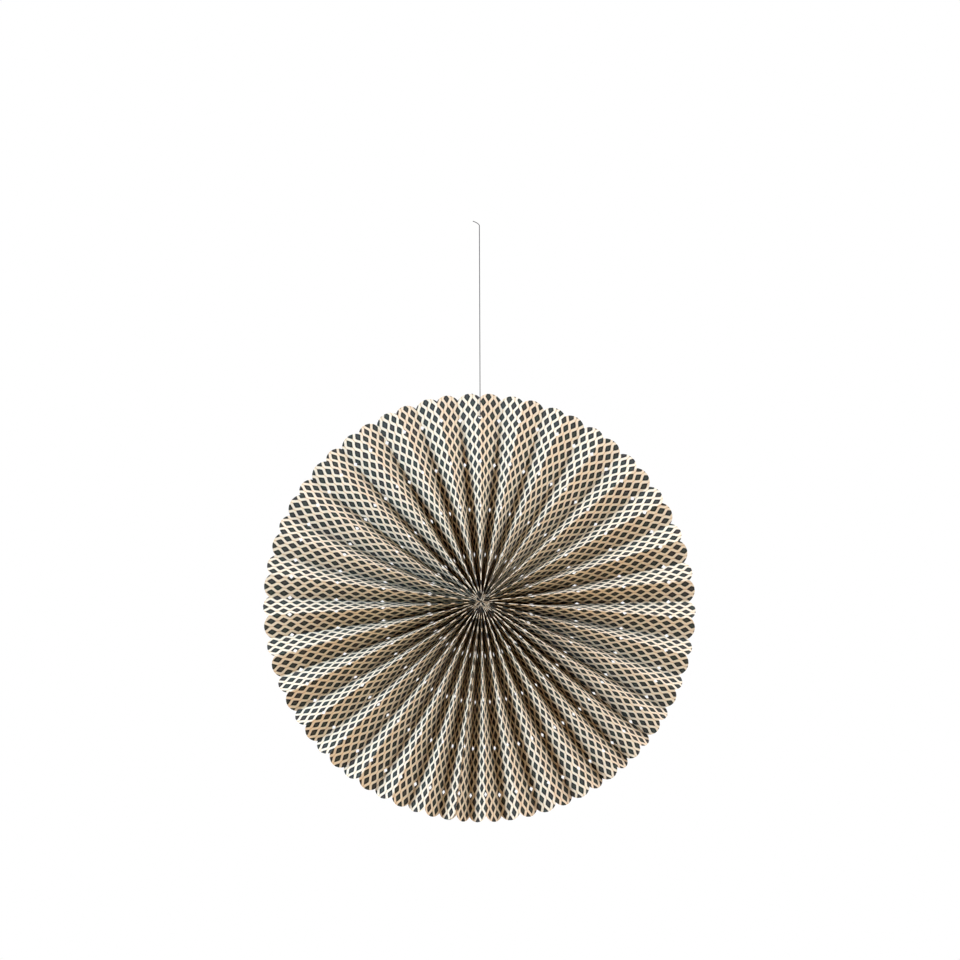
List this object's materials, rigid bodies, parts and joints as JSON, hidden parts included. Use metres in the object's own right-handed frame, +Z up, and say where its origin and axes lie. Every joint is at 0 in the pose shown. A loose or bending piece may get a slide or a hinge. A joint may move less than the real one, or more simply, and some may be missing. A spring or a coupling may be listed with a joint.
{
  "type": "paper fan medallion",
  "caption": "Round wall fan of pleated, printed paper with a scalloped rim and small diamond cut-outs along its folds, hung by a thin thread.",
  "frame": {"origin": "on the hub axis at the centre of the fan's outline, half way through the depth of the pleats", "axes": "+Z up towards the hanging thread, -Y towards the front of the fan, +X to the right seen from the front"},
  "size_m": [0.3994, 0.022, 0.568],
  "materials": {
    "printed_paper": "uncoated paper printed with a slate ogee lattice on cream",
    "thread": "thin dark cotton thread"
  },
  "bodies": {
    "root": {"left_sheet": "printed_paper", "bottom_sheet": "printed_paper", "right_sheet": "printed_paper", "hanging_thread": "thread", "thread_knot": "thread"}
  },
  "joints": []
}
